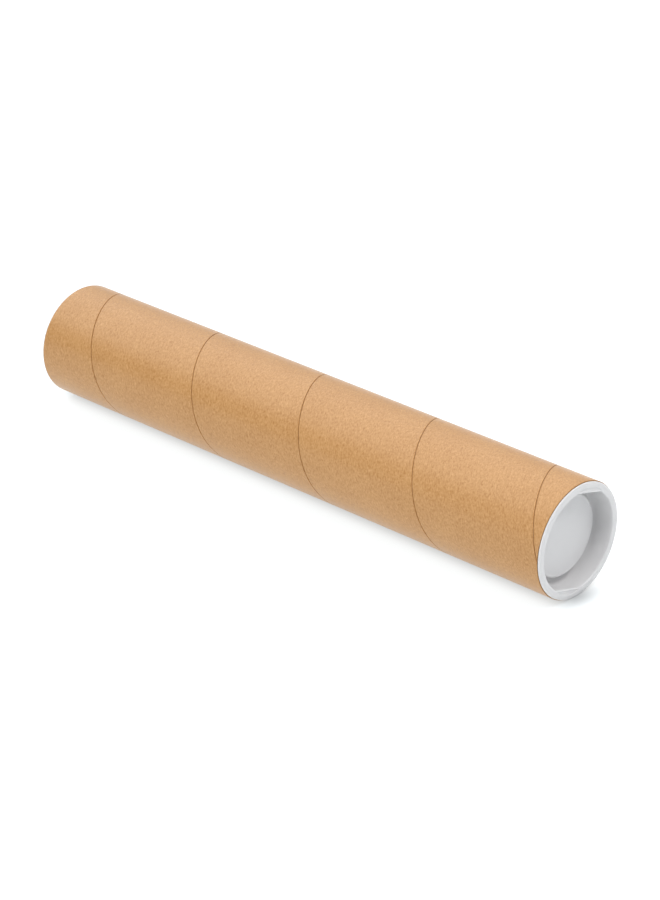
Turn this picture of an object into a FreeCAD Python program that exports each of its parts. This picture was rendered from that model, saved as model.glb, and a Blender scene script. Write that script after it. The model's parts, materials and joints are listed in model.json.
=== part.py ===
"""Kraft storage tube for drawings: a spiral-wound paper tube with a moulded plug cap in each end.

Frame: millimetres, +Z up, tube axis along X. The tube lies on the plane z = 0, and the origin is on
that plane under the middle of the tube.
"""
import FreeCAD, Part
import os

import Sketcher

# Driving dimensions in millimetres and degrees. Depths in a cap are measured from its flange face.
DIMENSIONS = {
    # Tube: a 2 inch bore, 12 inches long.
    "bore_diameter": 50.8,
    "tube_length": 304.8,
    # Wall, from the bore outwards, with a thin line of glue between neighbouring plies.
    "liner_ply": 0.28,
    "core_ply": 0.38,
    "outer_ply": 0.25,
    "glue_line": 0.02,
    # Winding: every ply advances by the same pitch in a turn. Its slit edges are slightly bevelled, so
    # the gap between them is cut by a section wider at its head than at its foot, and run past both faces.
    "seam_pitch": 67.24,
    "seam_head": 0.4,
    "seam_foot": 0.2,
    "seam_overcut": 0.1,
    "seam_start": -200.4,
    "seam_stagger": 16.8,
    "seam_turns": 5.6,
    # Cap flange, which covers the tube's end.
    "seat_gap": 0.05,
    "flange_radius": 26.4,
    "flange_thickness": 1.1,
    "flange_rounding": 0.45,
    # Cap recess.
    "mouth_radius": 23.0,
    "mouth_rounding": 0.7,
    "recess_foot_radius": 22.3,
    "groove_depth": 10.6,
    "disc_radius": 19.1,
    "disc_depth": 7.8,
    "disc_rounding": 0.6,
    # Cap skin and the plug outside it.
    "skin": 1.1,
    "neck_radius": 24.3,
    "plug_foot_radius": 23.6,
    "lead_in": 0.8,
    # Grip rings round the plug.
    "ring_clearance": 0.05,
    "ring_bite": 0.1,
    "ring_root": 1.6,
    "ring_crest": 0.6,
    "first_ring_depth": 3.6,
    "ring_span": 5.0,
    "ring_count": 3,
    # Finger ledges: two segments across the mouth, each cut off by a straight edge.
    "ledge_edge": 21.5,
    "ledge_root_radius": 23.7,
    "ledge_drop": 0.15,
    "ledge_thickness": 0.9,
    "front_clock": -16.0,
    "rear_clock": 31.0,
}

SHEET = "dims"
TUBE_RADIUS = "(dims.bore_diameter / 2 + dims.liner_ply + 2 * dims.core_ply + dims.outer_ply + 3 * dims.glue_line)"
SHELL_FLOOR = "(dims.flange_thickness - dims.groove_depth)"
DISC_TOP = "(dims.flange_thickness - dims.disc_depth)"

# How near an edge must be to the circle asked for, in millimetres.
EDGE_MATCH = 0.01


def make_sheet(doc):
    """The spreadsheet that holds every driving dimension under its own alias."""
    sheet = doc.addObject("Spreadsheet::Sheet", SHEET)
    for row, (alias, value) in enumerate(DIMENSIONS.items(), start=1):
        sheet.set(f"A{row}", alias)
        sheet.set(f"B{row}", str(value))
        sheet.setAlias(f"B{row}", alias)
    doc.recompute()
    return sheet


def origin_feature(body, role):
    """One of the body's own origin planes or axes."""
    return next(item for item in body.Origin.OriginFeatures if item.Role == role)


def new_sketch(body, name, plane):
    """An empty sketch lying on one of the body's origin planes."""
    sketch = body.newObject("Sketcher::SketchObject", name)
    sketch.AttachmentSupport = [(origin_feature(body, plane), "")]
    sketch.MapMode = "FlatFace"
    return sketch


def bind(sketch, constraint, expression):
    """Add a dimension to a sketch and drive it by an expression on the sheet."""
    index = sketch.addConstraint(constraint)
    sketch.setExpression(f"Constraints[{index}]", expression)


def add_outline(body, name, corners):
    """A closed straight-sided section on the XZ plane, each corner placed by two expressions (x, radius)."""
    sketch = new_sketch(body, name, "XZ_Plane")
    points = []
    for x, radius in corners:
        points.append(FreeCAD.Vector(sketch.evalExpression(x), sketch.evalExpression(radius), 0))
    count = len(corners)
    for index in range(count):
        sketch.addGeometry(Part.LineSegment(points[index], points[(index + 1) % count]), False)
    for index in range(count):
        sketch.addConstraint(Sketcher.Constraint("Coincident", index, 2, (index + 1) % count, 1))
    for index, (x, radius) in enumerate(corners):
        bind(sketch, Sketcher.Constraint("DistanceX", -1, 1, index, 1, points[index].x), x)
        bind(sketch, Sketcher.Constraint("DistanceY", -1, 1, index, 1, points[index].y), radius)
    return sketch


def revolve(body, name, sketch):
    """Turn a section once round the X axis."""
    feature = body.newObject("PartDesign::Revolution", name)
    feature.Profile = sketch
    feature.ReferenceAxis = (origin_feature(body, "X_Axis"), [""])
    feature.Angle = 360.0
    return feature


def round_circles(doc, body, name, circles, radius):
    """Fillet the circular edges that lie at the given (x, radius) expressions."""
    doc.recompute()
    base = body.Tip
    wanted = [(base.evalExpression(x), base.evalExpression(r)) for x, r in circles]
    edges = []
    for index, edge in enumerate(base.Shape.Edges, start=1):
        if not isinstance(edge.Curve, Part.Circle):
            continue
        for x, r in wanted:
            if abs(edge.Curve.Center.x - x) < EDGE_MATCH and abs(edge.Curve.Radius - r) < EDGE_MATCH:
                edges.append(f"Edge{index}")
    feature = body.newObject("PartDesign::Fillet", name)
    feature.Base = (base, edges)
    feature.setExpression("Radius", radius)
    return feature


def new_body(doc, label):
    """A body whose X axis is the tube's axis, one tube radius above the plane it lies on."""
    body = doc.addObject("PartDesign::Body", label)
    body.Label = label
    body.setExpression("Placement.Base.z", TUBE_RADIUS)
    return body


def make_ply(doc, label, inner_radius, thickness, stagger_steps):
    """One strip of board or paper wound into a tube, with the helical gap between its butted edges."""
    body = new_body(doc, label)
    half = "(dims.tube_length / 2)"
    outer_radius = f"({inner_radius} + {thickness})"
    wall = add_outline(body, f"{label}_wall", [
        (f"-{half}", inner_radius),
        (half, inner_radius),
        (half, outer_radius),
        (f"-{half}", outer_radius),
    ])
    revolve(body, f"{label}_turned", wall)
    doc.recompute()

    # The gap's section starts clear of the tube's end and runs clear of the other end.
    start = f"(dims.seam_start + {stagger_steps} * dims.seam_stagger)"
    gap = add_outline(body, f"{label}_gap", [
        (f"{start} - dims.seam_foot / 2", f"{inner_radius} - dims.seam_overcut"),
        (f"{start} + dims.seam_foot / 2", f"{inner_radius} - dims.seam_overcut"),
        (f"{start} + dims.seam_head / 2", f"{outer_radius} + dims.seam_overcut"),
        (f"{start} - dims.seam_head / 2", f"{outer_radius} + dims.seam_overcut"),
    ])
    seam = body.newObject("PartDesign::SubtractiveHelix", f"{label}_seam")
    seam.Profile = gap
    seam.ReferenceAxis = (origin_feature(body, "X_Axis"), [""])
    seam.Mode = "pitch-height-angle"
    seam.LeftHanded = False
    seam.setExpression("Pitch", "dims.seam_pitch")
    seam.setExpression("Height", "dims.seam_turns * dims.seam_pitch")
    body.Tip = seam
    return body


def make_cap(doc, label, clock):
    """One moulded plug: flange, recess with a raised disc, two finger ledges and three grip rings.

    x = 0 is the back of the flange, which seats on the tube's end, and the plug points to -X.
    """
    body = new_body(doc, label)
    face = "dims.flange_thickness"
    shell_end = f"({SHELL_FLOOR} - dims.skin)"
    disc_underside = f"({DISC_TOP} - dims.skin)"
    section = add_outline(body, f"{label}_section", [
        (face, "dims.mouth_radius"),
        (face, "dims.flange_radius"),
        ("0", "dims.flange_radius"),
        ("0", "dims.neck_radius"),
        (f"{shell_end} + dims.lead_in", "dims.plug_foot_radius"),
        (shell_end, "dims.plug_foot_radius - dims.lead_in"),
        (shell_end, "dims.disc_radius - dims.skin"),
        (disc_underside, "dims.disc_radius - dims.skin"),
        (disc_underside, "0"),
        (DISC_TOP, "0"),
        (DISC_TOP, "dims.disc_radius"),
        (SHELL_FLOOR, "dims.disc_radius"),
        (SHELL_FLOOR, "dims.recess_foot_radius"),
    ])
    revolve(body, f"{label}_shell", section)
    flange_edges = [(face, "dims.flange_radius")]
    round_circles(doc, body, f"{label}_flange_edge", flange_edges, "dims.flange_rounding")
    round_circles(doc, body, f"{label}_mouth_lip", [(face, "dims.mouth_radius")], "dims.mouth_rounding")
    round_circles(doc, body, f"{label}_disc_rim", [(DISC_TOP, "dims.disc_radius")], "dims.disc_rounding")
    doc.recompute()

    ledge = make_ledge(body, f"{label}_ledge", clock)
    ledges = body.newObject("PartDesign::PolarPattern", f"{label}_ledges")
    ledges.Originals = [ledge]
    ledges.Axis = (origin_feature(body, "X_Axis"), [""])
    ledges.Angle = 360.0
    ledges.Occurrences = 2
    body.Tip = ledges
    doc.recompute()

    ring = make_ring(body, f"{label}_ring")
    rings = body.newObject("PartDesign::LinearPattern", f"{label}_rings")
    rings.Originals = [ring]
    rings.Direction = (origin_feature(body, "X_Axis"), [""])
    rings.Reversed = True
    rings.setExpression("Length", "dims.ring_span")
    rings.setExpression("Occurrences", "dims.ring_count")
    body.Tip = rings
    return body


def make_ledge(body, name, clock):
    """A segment of the mouth closed off by a straight edge, rooted in the recess wall."""
    sketch = new_sketch(body, f"{name}_plan", "YZ_Plane")
    sketch.setExpression("AttachmentOffset.Base.z", "dims.flange_thickness - dims.ledge_drop")
    sketch.setExpression("AttachmentOffset.Rotation.Angle", clock)
    root = sketch.evalExpression("dims.ledge_root_radius")
    edge = sketch.evalExpression("dims.ledge_edge")
    half_width = (root**2 - edge**2) ** 0.5
    left = FreeCAD.Vector(-half_width, edge, 0)
    right = FreeCAD.Vector(half_width, edge, 0)
    top = FreeCAD.Vector(0, root, 0)
    sketch.addGeometry(Part.Arc(right, top, left), False)
    sketch.addGeometry(Part.LineSegment(left, right), False)
    sketch.addConstraint(Sketcher.Constraint("Coincident", 0, 3, -1, 1))
    sketch.addConstraint(Sketcher.Constraint("Coincident", 0, 2, 1, 1))
    sketch.addConstraint(Sketcher.Constraint("Coincident", 0, 1, 1, 2))
    sketch.addConstraint(Sketcher.Constraint("Horizontal", 1))
    bind(sketch, Sketcher.Constraint("Radius", 0, root), "dims.ledge_root_radius")
    bind(sketch, Sketcher.Constraint("DistanceY", -1, 1, 1, 1, edge), "dims.ledge_edge")
    ledge = body.newObject("PartDesign::Pad", name)
    ledge.Profile = sketch
    ledge.Reversed = True
    ledge.setExpression("Length", "dims.ledge_thickness")
    return ledge


def make_ring(body, name):
    """One grip ring, a low trapezoid in section, whose crest meets the bore with a small clearance."""
    middle = "(dims.flange_thickness - dims.first_ring_depth)"
    root_radius = "(dims.plug_foot_radius - dims.ring_bite)"
    crest_radius = "(dims.bore_diameter / 2 - dims.ring_clearance)"
    section = add_outline(body, f"{name}_section", [
        (f"{middle} - dims.ring_root / 2", root_radius),
        (f"{middle} + dims.ring_root / 2", root_radius),
        (f"{middle} + dims.ring_crest / 2", crest_radius),
        (f"{middle} - dims.ring_crest / 2", crest_radius),
    ])
    return revolve(body, name, section)


def place_caps(front, rear):
    """Seat both caps on the tube's ends, a hair off the board, the rear one turned to face -X."""
    seat = "dims.tube_length / 2 + dims.seat_gap"
    front.setExpression("Placement.Base.x", seat)
    rear.Placement.Rotation = FreeCAD.Rotation(FreeCAD.Vector(0, 0, 1), 180)
    rear.setExpression("Placement.Base.x", f"-({seat})")


def make_tube(doc):
    """The four plies from the bore outwards, each seam a quarter of the pitch on from the one outside it."""
    step = " + dims.glue_line"
    bore = "dims.bore_diameter / 2"
    inner_core = f"{bore} + dims.liner_ply{step}"
    outer_core = f"{inner_core} + dims.core_ply{step}"
    outer = f"{outer_core} + dims.core_ply{step}"
    return [
        make_ply(doc, "inner_liner_ply", f"({bore})", "dims.liner_ply", 3),
        make_ply(doc, "inner_core_ply", f"({inner_core})", "dims.core_ply", 1),
        make_ply(doc, "outer_core_ply", f"({outer_core})", "dims.core_ply", 2),
        make_ply(doc, "outer_kraft_ply", f"({outer})", "dims.outer_ply", 0),
    ]


def check(doc, parts):
    """Stop on any failed feature and on any part that isn't one valid closed solid."""
    for item in doc.Objects:
        if {"Invalid", "Error"} & set(item.State):
            raise RuntimeError(f"{item.Label} failed: {item.State}")
    for part in parts:
        shape = part.Shape
        if shape.isNull() or not shape.isValid() or len(shape.Solids) != 1:
            raise RuntimeError(f"{part.Label} isn't one valid solid")
        box = shape.BoundBox
        print(f"{part.Label:16s} {shape.Volume:10.1f} mm3  x {box.XMin:8.2f} {box.XMax:8.2f}"
              f"  z {box.ZMin:6.2f} {box.ZMax:6.2f}  {len(shape.Faces)} faces")


def main():
    doc = FreeCAD.newDocument("drawing_tube")
    make_sheet(doc)
    parts = make_tube(doc)
    front = make_cap(doc, "front_cap", "dims.front_clock")
    rear = make_cap(doc, "rear_cap", "dims.rear_clock")
    place_caps(front, rear)
    parts += [front, rear]
    doc.recompute()
    check(doc, parts)
    os.makedirs("parts", exist_ok=True)
    for part in parts:
        part.Shape.exportStep(f"parts/{part.Label}.step")


main()
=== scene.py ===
"""Looks of the drawing tube: the wound kraft plies, the moulded caps, their materials, and a white studio.

Everything is in metres in the CAD frame: tube axis along X at one tube radius above the floor z = 0. The
cap's section is in millimetres. Scales of noise are per metre.
"""

import json
import math

import bpy
import bmesh
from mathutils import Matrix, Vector, noise


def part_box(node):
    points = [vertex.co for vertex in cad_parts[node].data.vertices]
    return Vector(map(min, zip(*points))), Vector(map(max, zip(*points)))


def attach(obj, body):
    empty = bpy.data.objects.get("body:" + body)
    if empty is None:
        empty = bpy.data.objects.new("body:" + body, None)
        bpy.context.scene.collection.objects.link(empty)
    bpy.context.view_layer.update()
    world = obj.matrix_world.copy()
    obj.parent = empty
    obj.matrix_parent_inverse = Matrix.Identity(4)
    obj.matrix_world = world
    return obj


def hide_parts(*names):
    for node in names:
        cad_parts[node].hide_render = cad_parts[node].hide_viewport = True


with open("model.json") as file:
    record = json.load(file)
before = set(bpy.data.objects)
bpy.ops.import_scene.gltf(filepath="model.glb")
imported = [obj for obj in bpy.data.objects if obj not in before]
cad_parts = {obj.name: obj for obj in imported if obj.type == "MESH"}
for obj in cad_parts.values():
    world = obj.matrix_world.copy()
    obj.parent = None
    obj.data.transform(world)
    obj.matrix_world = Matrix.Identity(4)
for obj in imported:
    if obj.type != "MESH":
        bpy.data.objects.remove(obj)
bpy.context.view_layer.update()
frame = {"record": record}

MM = 0.001
TURN = 2 * math.pi

# ---------------------------------------------------------------- sizes read from the frame
TUBE = next(mount for mount in frame["record"]["mounts"] if mount["name"] == "tube_outside")
TUBE_RADIUS = TUBE["dims"]["r_mm"] * MM
TUBE_LENGTH = TUBE["dims"]["length_mm"] * MM
AXIS_HEIGHT = TUBE["pos_m"][2]
FRONT_FACE_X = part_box("front_cap")[1].x
REAR_FACE_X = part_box("rear_cap")[0].x

# ---------------------------------------------------------------- the winding, as in the CAD source
SEAM_PITCH = 67.24 * MM
SEAM_START = -200.4 * MM
SEAM_STAGGER = 16.8 * MM
SEAM_GAP = 0.3 * MM
GLUE_LINE = 0.02 * MM
OUTER_PLY = 0.25 * MM
CORE_PLY = 0.38 * MM
LINER_PLY = 0.28 * MM
LEAD_ANGLE = math.atan(SEAM_PITCH / (TURN * TUBE_RADIUS))
STRIP_WIDTH = SEAM_PITCH * math.cos(LEAD_ANGLE)
STEPS_PER_TURN = 168
SLOW_WANDER = 0.045 * MM
QUICK_WANDER = 0.025 * MM
CUT_ROUNDING = 0.08 * MM

# ---------------------------------------------------------------- one cap: depths from its flange face, mm
FLANGE_RADIUS = 26.4
FLANGE_THICKNESS = 1.1
MOUTH_RADIUS = 23.0
FOOT_RADIUS = 22.3
GROOVE_DEPTH = 10.6
DISC_RADIUS = 19.1
DISC_DEPTH = 7.8
SKIN = 1.1
NECK_RADIUS = 24.3
PLUG_FOOT_RADIUS = 23.6
LEAD_IN = 0.8
RING_RADIUS = 25.35
RING_DEPTHS = (3.6, 6.1, 8.6)
RING_HALF_CREST = 0.3
RING_HALF_FOOT = 0.8
LEDGE_EDGE = 21.5
LEDGE_BACK = 1.05
FRONT_CLOCK = math.radians(-16)
REAR_CLOCK = math.radians(31)
CAP_COLUMNS = 400

# ---------------------------------------------------------------- studio light, as radiance unless named
PANEL = 2.5
OVERHEAD = 0.83
ROOM = 0.3
ROOM_TINT = (0.95, 0.97, 1.07, 1)
WHITE = (1.0, 1.0, 1.0, 1)
TABLE_GLOW = 0.85
# The next four numbers paint a contact shadow into the table's glow: its glow at the tube's foot, the
# distances off the tube's line over which it rises to full glow, and how much closer it rises in front of the
# caps.
PAINTED_SHADOW_GLOW = 0.27
TABLE_GREY = 0.28
PAINTED_SHADOW_FROM = -0.05 * TUBE_RADIUS
PAINTED_SHADOW_UNTIL = 0.68 * TUBE_RADIUS
PAINTED_SHADOW_SQUEEZE_AT_ENDS = 1.8
LIGHT_DISTANCE = 1.35


def lerp(a, b, share):
    return a + (b - a) * share


def smooth(value):
    """A smooth step from 0 to 1."""
    value = min(1.0, max(0.0, value))
    return value * value * (3 - 2 * value)


def new_object(name, bm, material):
    """Turn a bmesh into a smooth-shaded object with one material."""
    bmesh.ops.recalc_face_normals(bm, faces=bm.faces)
    mesh = bpy.data.meshes.new(name)
    bm.to_mesh(mesh)
    bm.free()
    mesh.shade_smooth()
    mesh.set_sharp_from_angle(angle=math.radians(38))
    mesh.materials.append(material)
    piece = bpy.data.objects.new(name, mesh)
    bpy.context.scene.collection.objects.link(piece)
    return piece


# ---------------------------------------------------------------- materials
class Nodes:
    """Short calls for building the node tree of a material or of the world."""

    def __init__(self, owner, shader):
        owner.use_nodes = True
        self.owner = owner
        self.tree = owner.node_tree
        self.shader = self.tree.nodes[shader]

    def add(self, kind, inputs=None, **settings):
        node = self.tree.nodes.new(kind)
        for key, value in settings.items():
            setattr(node, key, value)
        for key, value in (inputs or {}).items():
            self.feed(node.inputs[key], value)
        return node

    def feed(self, socket, value):
        if isinstance(value, bpy.types.NodeSocket):
            self.tree.links.new(value, socket)
        else:
            socket.default_value = value

    def math(self, operation, first, second=0.0, third=0.0):
        return self.add("ShaderNodeMath", {0: first, 1: second, 2: third}, operation=operation).outputs[0]

    def noise(self, vector, scale, detail=2.0, roughness=0.5, distortion=0.0):
        values = {"Vector": vector, "Scale": scale, "Detail": detail, "Roughness": roughness,
                  "Distortion": distortion}
        return self.add("ShaderNodeTexNoise", values).outputs["Fac"]

    def stretch(self, vector, along, across):
        """Scale a flat strip coordinate so that noise read from it is drawn out along the strip."""
        return self.add("ShaderNodeMapping", {"Vector": vector, "Scale": (along, across, 1.0)}).outputs[0]

    def ramp(self, value, low, high, to_low=0.0, to_high=1.0):
        """Map low..high to to_low..to_high, clamped, with a smooth shoulder."""
        values = {"Value": value, "From Min": low, "From Max": high, "To Min": to_low, "To Max": to_high}
        node = self.add("ShaderNodeMapRange", values, interpolation_type="SMOOTHSTEP")
        return node.outputs["Result"]

    def mix(self, share, first, second, blend="MIX"):
        node = self.add("ShaderNodeMix", data_type="RGBA", blend_type=blend)
        self.feed(node.inputs["Factor"], share)
        self.feed(node.inputs["A"], first)
        self.feed(node.inputs["B"], second)
        return node.outputs["Result"]

    def blend(self, share, first, second):
        """A number between two others."""
        node = self.add("ShaderNodeMix", data_type="FLOAT")
        self.feed(node.inputs["Factor"], share)
        self.feed(node.inputs["A"], first)
        self.feed(node.inputs["B"], second)
        return node.outputs["Result"]

    def bump(self, height, distance, strength=1.0, normal=None):
        values = {"Height": height, "Distance": distance, "Strength": strength}
        if normal is not None:
            values["Normal"] = normal
        return self.add("ShaderNodeBump", values).outputs["Normal"]


def new_material(name):
    return Nodes(bpy.data.materials.new(name), "Principled BSDF")


def paper_material(name, base, veil, speck, speck_share, contrast, sheen):
    """Unbleached paper seen close: clouds of tone, flecks, fibres drawn out along the strip, and dark specks.

    The veil is the colour by which a lighter fibre differs from the base. It is greyer than the base.
    """
    n = new_material(name)
    strip = n.add("ShaderNodeUVMap", uv_map="strip").outputs["UV"]
    cloud = n.noise(strip, 45.0, detail=3.0)
    mottle = n.noise(strip, 360.0, detail=2.0)
    fleck = n.noise(strip, 900.0, detail=2.0, roughness=0.6)
    fibre = n.noise(n.stretch(strip, 600.0, 2000.0), 1.0, detail=2.0, roughness=0.6, distortion=0.5)
    spots = n.noise(n.stretch(strip, 620.0, 1100.0), 1.0, detail=2.0, roughness=0.5)
    edge_stain_and_shade = seam_edge_stain_and_shade(n, strip)

    tone = 0.0
    for layer, strength in ((cloud, 0.2), (mottle, 0.22), (fleck, 0.75), (fibre, 0.9)):
        centred = n.math("SUBTRACT", layer, 0.5)
        tone = n.math("MULTIPLY_ADD", centred, strength * contrast, tone)
    tinting = n.add("ShaderNodeVectorMath", {0: veil, 1: tone, 2: base}, operation="MULTIPLY_ADD")
    # Darker, redder slit edges: partly glue and dust stain, partly painted shade of the seam gap.
    colour = n.mix(edge_stain_and_shade, tinting.outputs["Vector"], (0.9, 0.82, 0.7, 1), "MULTIPLY")

    # The noise stays near its middle, so only its rare peaks make dark specks and its rare lows pale ones.
    dark_from = 0.76 - 0.1 * speck_share
    colour = n.mix(n.ramp(spots, dark_from, dark_from + 0.07, 0.0, 0.6), colour, speck)
    pale_share = 0.6
    pale = tuple(min(1.0, part + pale_share * lift) for part, lift in zip(base, veil)) + (1.0,)
    colour = n.mix(n.ramp(spots, 0.24, 0.31, 0.5, 0.0), colour, pale)

    height = n.math("MULTIPLY_ADD", fibre, 0.6, n.math("MULTIPLY", fleck, 0.4))
    normal = n.bump(height, 0.05 * MM, strength=0.22)
    normal = n.bump(mottle, 0.06 * MM, strength=0.15, normal=normal)
    n.feed(n.shader.inputs["Base Color"], colour)
    n.feed(n.shader.inputs["Roughness"], n.ramp(fleck, 0.3, 0.7, sheen - 0.06, sheen + 0.06))
    n.feed(n.shader.inputs["Specular IOR Level"], n.blend(edge_stain_and_shade, 0.43, 0.22))
    n.feed(n.shader.inputs["Normal"], normal)
    return n.owner


def seam_edge_stain_and_shade(n, strip):
    """How much the strip's slit edges are darkened: 1 at its slit edges, which are darker and redder than its
    face, and 0 inside. The darkening is partly glue and dust stain and partly painted shade of the seam gap.
    """
    across = n.add("ShaderNodeSeparateXYZ", {"Vector": strip}).outputs["Y"]
    from_edge = n.math("PINGPONG", across, STRIP_WIDTH / 2)
    return n.ramp(from_edge, 0.1 * MM, 0.6 * MM, 1.0, 0.0)


def plastic_material():
    """White low-density polyethylene: satin, faintly uneven from the mould, and slightly see-through."""
    n = new_material("cap_polyethylene")
    place = n.add("ShaderNodeTexCoord").outputs["Object"]
    sink = n.noise(place, 90.0, detail=2.0)
    grain = n.noise(place, 1600.0, detail=2.0)
    thick, thin = (0.62, 0.612, 0.61, 1), (0.658, 0.65, 0.648, 1)
    n.feed(n.shader.inputs["Base Color"], n.mix(sink, thick, thin))
    n.feed(n.shader.inputs["Roughness"], n.ramp(grain, 0.3, 0.7, 0.33, 0.42))
    n.feed(n.shader.inputs["IOR"], 1.51)
    n.feed(n.shader.inputs["Subsurface Weight"], 0.6)
    n.feed(n.shader.inputs["Subsurface Radius"], (1.0, 1.0, 1.0))
    n.feed(n.shader.inputs["Subsurface Scale"], 2.5 * MM)
    normal = n.bump(sink, 0.25 * MM, strength=0.35)
    n.feed(n.shader.inputs["Normal"], n.bump(grain, 0.02 * MM, strength=0.3, normal=normal))
    return n.owner


def floor_material():
    """A white light table: a matt sheet that also glows, with a painted contact shadow: its glow is dimmer
    where the tube stands on it.
    """
    n = new_material("light_table_painted_shadow")
    place = n.add("ShaderNodeNewGeometry").outputs["Position"]
    split = n.add("ShaderNodeSeparateXYZ", {"Vector": place}).outputs
    beyond = n.math("SUBTRACT", n.math("ABSOLUTE", split["X"]), FRONT_FACE_X)
    beyond = n.math("MAXIMUM", n.math("MULTIPLY", beyond, PAINTED_SHADOW_SQUEEZE_AT_ENDS), 0.0)
    away = n.math("SQRT", n.math("MULTIPLY_ADD", beyond, beyond, n.math("MULTIPLY", split["Y"], split["Y"])))
    # Painted contact shadow: the glow rises from its foot value near the tube and caps to full glow further
    # off.
    glow_with_painted_shadow = n.ramp(away, PAINTED_SHADOW_FROM, PAINTED_SHADOW_UNTIL, PAINTED_SHADOW_GLOW, TABLE_GLOW)
    n.feed(n.shader.inputs["Base Color"], (TABLE_GREY, TABLE_GREY, TABLE_GREY, 1))
    n.feed(n.shader.inputs["Roughness"], 1.0)
    n.feed(n.shader.inputs["Specular IOR Level"], 0.0)
    n.feed(n.shader.inputs["Emission Color"], (0.93, 0.98, 1.0, 1))
    n.feed(n.shader.inputs["Emission Strength"], glow_with_painted_shadow)
    n.owner.cycles.emission_sampling = "NONE"
    return n.owner


# ---------------------------------------------------------------- plies
def seam_wander(distance, seed):
    """How far a strip's edge strays from its line, in metres."""
    slow = noise.noise(Vector((distance * 45, seed, 0.0)))
    quick = noise.noise(Vector((distance * 420, seed + 7.0, 0.0)))
    return SLOW_WANDER * slow + QUICK_WANDER * quick


def wound_ply(name, node, inner, outer, start, seed, material, steps_across=20):
    """One strip wound round the tube: a closed helical band, cut flush with the tube's ends.

    Angles run from the top towards -Y, as the right-handed winding advances along +X.
    """
    half = TUBE_LENGTH / 2
    first = (-half - SEAM_PITCH - 2 * MM - start) / SEAM_PITCH
    last = (half + 2 * MM - start) / SEAM_PITCH
    count = int((last - first) * STEPS_PER_TURN)
    thickness = outer - inner
    edge = min(0.09 * MM, 0.35 * thickness)

    bm = bmesh.new()
    uv = bm.loops.layers.uv.new("strip")
    rings, flat = [], {}
    for step in range(count + 1):
        turns = lerp(first, last, step / count)
        angle = turns * TURN
        seam = start + turns * SEAM_PITCH
        arc = angle * TUBE_RADIUS
        low = seam + SEAM_GAP / 2 + seam_wander(arc, seed)
        high = seam + SEAM_PITCH - SEAM_GAP / 2 + seam_wander(arc + TURN * TUBE_RADIUS, seed + 3.0)
        across = [(low, inner), (low, outer - edge), (low + 0.3 * edge, outer - 0.3 * edge)]
        across += [(low + edge, outer), (low + 2.5 * edge, outer)]
        for index in range(1, steps_across):
            across.append((lerp(low, high, index / steps_across), outer))
        across += [(high - 2.5 * edge, outer), (high - edge, outer)]
        across += [(high - 0.3 * edge, outer - 0.3 * edge), (high, outer - edge)]
        across.append((high, inner))
        for index in range(steps_across - 1, 0, -4):
            across.append((lerp(low, high, index / steps_across), inner))
        ring = []
        for x, radius in across:
            vertex = bm.verts.new((x, -radius * math.sin(angle), AXIS_HEIGHT + radius * math.cos(angle)))
            flat[vertex] = (arc * math.cos(LEAD_ANGLE) + x * math.sin(LEAD_ANGLE),
                            (x - start) * math.cos(LEAD_ANGLE) - arc * math.sin(LEAD_ANGLE))
            ring.append(vertex)
        rings.append(ring)
    for ring, following in zip(rings, rings[1:]):
        for index in range(len(ring)):
            after = (index + 1) % len(ring)
            bm.faces.new((ring[index], ring[after], following[after], following[index]))
    for face in bm.faces:
        for loop in face.loops:
            loop[uv].uv = flat[loop.vert]
    cut_ends(bm, half)
    wear_ends(bm, half, inner, outer)
    piece = new_object(name, bm, material)
    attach(piece, "tube")
    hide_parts(node)
    return piece


def cut_ends(bm, half):
    """Cut the band square at both ends of the tube and close the cut faces, with a loop just inside each."""
    for side in (-1, 1):
        plane = {"plane_co": (side * half, 0, 0), "plane_no": (side, 0, 0)}
        everything = bm.verts[:] + bm.edges[:] + bm.faces[:]
        cut = bmesh.ops.bisect_plane(bm, geom=everything, clear_outer=True, **plane)["geom_cut"]
        edges = [item for item in cut if isinstance(item, bmesh.types.BMEdge)]
        bmesh.ops.triangle_fill(bm, edges=edges, use_beauty=True, normal=(side, 0, 0))
        for inset in (0.12 * MM, 0.5 * MM):
            everything = bm.verts[:] + bm.edges[:] + bm.faces[:]
            bmesh.ops.bisect_plane(bm, geom=everything, plane_co=(side * (half - inset), 0, 0),
                                   plane_no=(side, 0, 0))


def wear_ends(bm, half, inner, outer):
    """Take the sharpness off the cut corners of the outermost ply."""
    if outer < TUBE_RADIUS - 0.01 * MM:
        return
    for vertex in bm.verts:
        if abs(vertex.co.x) < half - 0.01 * MM:
            continue
        y, z = vertex.co.y, vertex.co.z - AXIS_HEIGHT
        radius = math.hypot(y, z)
        if radius > (inner + outer) / 2:
            share = (radius - CUT_ROUNDING) / radius
            vertex.co.y = y * share
            vertex.co.z = AXIS_HEIGHT + z * share


# ---------------------------------------------------------------- caps
def soften(corners, steps=4):
    """Round each corner of an open outline of (depth, radius, cut) with a short curve.

    Every corner gives the same number of points, so that neighbouring sections can be joined point by point.
    """
    points = [corners[0][:2]]
    for before, corner, after in zip(corners, corners[1:], corners[2:]):
        here = Vector(corner[:2])
        to_before = Vector(before[:2]) - here
        to_after = Vector(after[:2]) - here
        cut_in = min(corner[2], 0.42 * to_before.length)
        cut_out = min(corner[2], 0.42 * to_after.length)
        start = here + to_before.normalized() * cut_in
        end = here + to_after.normalized() * cut_out
        points.append(tuple(start + to_before.normalized() * 0.12 * cut_in))
        for step in range(steps + 1):
            share = step / steps
            points.append(tuple(start.lerp(here, share).lerp(here.lerp(end, share), share)))
        points.append(tuple(end + to_after.normalized() * 0.12 * cut_out))
    points.append(corners[-1][:2])
    return points


def wall_radius(depth):
    """Inside radius of the recess wall, which tapers a little towards its foot."""
    return lerp(MOUTH_RADIUS, FOOT_RADIUS, depth / GROOVE_DEPTH)


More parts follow.
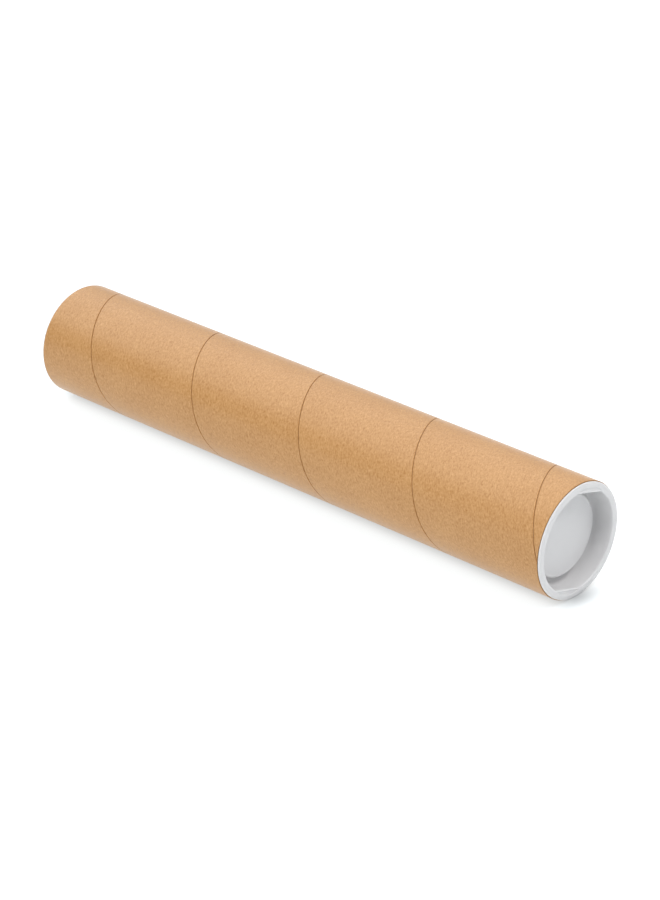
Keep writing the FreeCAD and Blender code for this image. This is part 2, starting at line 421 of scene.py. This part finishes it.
def ledge_reach(angle):
    """How far the nearer finger ledge reaches in from the mouth at an angle from the ledges' line, in mm."""
    off = abs((angle + TURN / 4) % (TURN / 2) - TURN / 4)
    straight = MOUTH_RADIUS - LEDGE_EDGE / max(0.2, math.cos(off))
    return 0.5 * (straight + math.hypot(straight, 0.22)) if straight > -2.0 else 0.0


def cap_outline(angle):
    """The cap's section at one angle: up its open side, over the flange, and down and under the plug."""
    reach = ledge_reach(angle)
    ledge = smooth(reach / 0.7)
    inner = MOUTH_RADIUS - reach
    corners = [
        (DISC_DEPTH, 0.6, 0.2),
        (DISC_DEPTH, DISC_RADIUS - 1.5, 0.3),
        (DISC_DEPTH - 0.12, DISC_RADIUS - 0.7, 0.4),
        (DISC_DEPTH + 0.25, DISC_RADIUS, 0.4),
        (GROOVE_DEPTH - 0.9, DISC_RADIUS + 0.12, 0.5),
        (GROOVE_DEPTH - 0.1, DISC_RADIUS + 0.9, 0.6),
        (GROOVE_DEPTH - 0.15, FOOT_RADIUS - 1.2, 0.6),
        (GROOVE_DEPTH - 0.9, FOOT_RADIUS - 0.25, 0.6),
        (8.4, wall_radius(8.4), 0.4),
        (LEDGE_BACK + 0.4, wall_radius(LEDGE_BACK + 0.4), 0.15),
        (LEDGE_BACK, inner, 0.16),
        (lerp(0.62, 0.4, ledge), inner + 0.02, 0.22),
        (lerp(0.36, 0.15, ledge), lerp(MOUTH_RADIUS + 0.12, inner + 0.42, ledge), 0.2),
        (lerp(0.16, 0.5, ledge), lerp(MOUTH_RADIUS + 0.36, inner + 0.95, ledge), 0.2),
        (lerp(0.1, 0.42, ledge), MOUTH_RADIUS + 0.6, 0.15),
        (0.04, MOUTH_RADIUS + 1.1, 0.3),
        (0.0, MOUTH_RADIUS + 1.9, 0.4),
        (0.1, FLANGE_RADIUS - 0.65, 0.3),
        (0.42, FLANGE_RADIUS, 0.3),
        (FLANGE_THICKNESS, FLANGE_RADIUS, 0.25),
        (FLANGE_THICKNESS, NECK_RADIUS, 0.2),
    ]
    for depth in RING_DEPTHS:
        down_the_plug = (depth - FLANGE_THICKNESS) / (GROOVE_DEPTH - FLANGE_THICKNESS)
        root = lerp(NECK_RADIUS, PLUG_FOOT_RADIUS, down_the_plug)
        corners.append((depth - RING_HALF_FOOT, root, 0.2))
        corners.append((depth - RING_HALF_CREST, RING_RADIUS, 0.2))
        corners.append((depth + RING_HALF_CREST, RING_RADIUS, 0.2))
        corners.append((depth + RING_HALF_FOOT, root, 0.2))
    end = GROOVE_DEPTH + SKIN
    corners += [
        (end - LEAD_IN, PLUG_FOOT_RADIUS, 0.3),
        (end, PLUG_FOOT_RADIUS - LEAD_IN, 0.4),
        (end, DISC_RADIUS - SKIN, 0.4),
        (DISC_DEPTH + SKIN, DISC_RADIUS - SKIN - 0.15, 0.4),
        (DISC_DEPTH + SKIN, 0.6, 0.2),
    ]
    return soften(corners)


def make_cap(name, node, body, face_x, outward, clock, material):
    """One cap, turned about the tube's axis by its clock angle, with its plug pointing into the tube."""
    bm = bmesh.new()
    rings = []
    for column in range(CAP_COLUMNS):
        # Angles are measured about the outward axis from +Z, so that both caps are the same moulding.
        angle = TURN * column / CAP_COLUMNS
        ring = []
        for depth, radius in cap_outline(angle):
            turned = angle + clock
            y = -outward * radius * MM * math.sin(turned)
            z = AXIS_HEIGHT + radius * MM * math.cos(turned)
            ring.append(bm.verts.new((face_x - outward * depth * MM, y, z)))
        rings.append(ring)
    for ring, following in zip(rings, rings[1:] + rings[:1]):
        for index in range(len(ring) - 1):
            bm.faces.new((ring[index], following[index], following[index + 1], ring[index + 1]))
    bm.faces.new([ring[0] for ring in rings])
    bm.faces.new([ring[-1] for ring in reversed(rings)])
    piece = new_object(name, bm, material)
    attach(piece, body)
    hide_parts(node)
    return piece


# ---------------------------------------------------------------- studio
def make_floor():
    size = 12.0
    bm = bmesh.new()
    bmesh.ops.create_grid(bm, x_segments=1, y_segments=1, size=size)
    floor = new_object("floor", bm, floor_material())


def make_world():
    """A dim room, lit from overhead, with a bright panel above the tube's far end."""
    n = Nodes(bpy.data.worlds.new("dim_room"), "Background")
    direction = n.add("ShaderNodeTexCoord").outputs["Generated"]
    split = n.add("ShaderNodeSeparateXYZ", {"Vector": direction}).outputs
    lean = n.math("ARCTAN2", split["Y"], split["Z"])

    overhead = n.ramp(lean, math.radians(-75), math.radians(-30))
    overhead = n.math("MULTIPLY", overhead, n.ramp(lean, math.radians(75), math.radians(120), 1.0, 0.0))
    overhead = n.math("MULTIPLY", overhead, n.ramp(split["X"], 0.0, 0.9, 1.0, 0.5))
    panel = n.ramp(lean, math.radians(-66), math.radians(-24))
    panel = n.math("MULTIPLY", panel, n.ramp(lean, math.radians(15), math.radians(80), 1.0, 0.0))
    panel = n.math("MULTIPLY", panel, n.ramp(split["X"], -0.42, -0.1, 1.0, 0.0))

    level = n.blend(overhead, ROOM, OVERHEAD)
    n.feed(n.shader.inputs["Color"], n.mix(overhead, ROOM_TINT, WHITE))
    n.feed(n.shader.inputs["Strength"], n.blend(panel, level, PANEL))
    bpy.context.scene.world = n.owner


def make_softbox(name, direction, size, radiance):
    """A square softbox that looks at the tube from a direction, at the one distance of both."""
    softbox = bpy.data.lights.new(name, "AREA")
    softbox.shape = "SQUARE"
    softbox.size = size
    softbox.energy = radiance * math.pi * size**2
    lamp = bpy.data.objects.new(name, softbox)
    lamp.location = LIGHT_DISTANCE * Vector(direction).normalized()
    lamp.rotation_euler = lamp.location.to_track_quat("Z", "Y").to_euler()
    bpy.context.scene.collection.objects.link(lamp)


def make_camera():
    """A long lens from the front right, a little above the tube."""
    azimuth = math.radians(42.95)
    elevation = math.radians(26.34)
    distance = 50.05 * TUBE_RADIUS
    back = Vector((math.sin(azimuth) * math.cos(elevation), -math.cos(azimuth) * math.cos(elevation),
                   math.sin(elevation)))
    right = Vector((math.cos(azimuth), math.sin(azimuth), 0))
    up = back.cross(right)
    target = Vector((0, 0, AXIS_HEIGHT)) + TUBE_RADIUS * (0.2756 * right - 0.2960 * up)
    data = bpy.data.cameras.new("camera")
    data.lens = 118.24
    data.sensor_width = 36.0
    camera = bpy.data.objects.new("camera", data)
    camera.location = target + distance * back
    camera.rotation_euler = back.to_track_quat("Z", "Y").to_euler()
    bpy.context.scene.collection.objects.link(camera)
    bpy.context.scene.camera = camera


def make_tube():
    kraft = paper_material("kraft_paper", (0.41, 0.213, 0.073), (0.36, 0.27, 0.15), (0.16, 0.075, 0.03, 1),
                           0.0, 0.85, 0.34)
    board = paper_material("core_board", (0.33, 0.205, 0.105), (0.3, 0.23, 0.15), (0.08, 0.06, 0.05, 1),
                           1.0, 1.2, 0.7)
    liner = paper_material("liner_paper", (0.42, 0.245, 0.115), (0.42, 0.3, 0.18), (0.12, 0.07, 0.04, 1),
                           0.7, 0.9, 0.6)
    outside = TUBE_RADIUS
    outer_core = outside - OUTER_PLY - GLUE_LINE
    inner_core = outer_core - CORE_PLY - GLUE_LINE
    lining = inner_core - CORE_PLY - GLUE_LINE
    wound_ply("kraft_wrap", "outer_kraft_ply", outside - OUTER_PLY, outside,
              SEAM_START, 1.0, kraft)
    wound_ply("core_wrap_outer", "outer_core_ply", outer_core - CORE_PLY, outer_core,
              SEAM_START + 2 * SEAM_STAGGER, 11.0, board, 12)
    wound_ply("core_wrap_inner", "inner_core_ply", inner_core - CORE_PLY, inner_core,
              SEAM_START + SEAM_STAGGER, 21.0, board, 12)
    wound_ply("liner_wrap", "inner_liner_ply", lining - LINER_PLY, lining,
              SEAM_START + 3 * SEAM_STAGGER, 31.0, liner, 12)


make_tube()
plastic = plastic_material()
make_cap("front_plug_cap", "front_cap", "front_cap", FRONT_FACE_X, 1, FRONT_CLOCK, plastic)
make_cap("rear_plug_cap", "rear_cap", "rear_cap", REAR_FACE_X, -1, REAR_CLOCK, plastic)
make_floor()
make_world()
make_softbox("front_softbox", (-0.05, -1.0, 0.26), 0.9, 3.2)
make_softbox("cap_softbox", (0.75, 0.12, 1.38), 0.6, 6.3)
make_camera()
bpy.context.scene.view_settings.view_transform = "Standard"
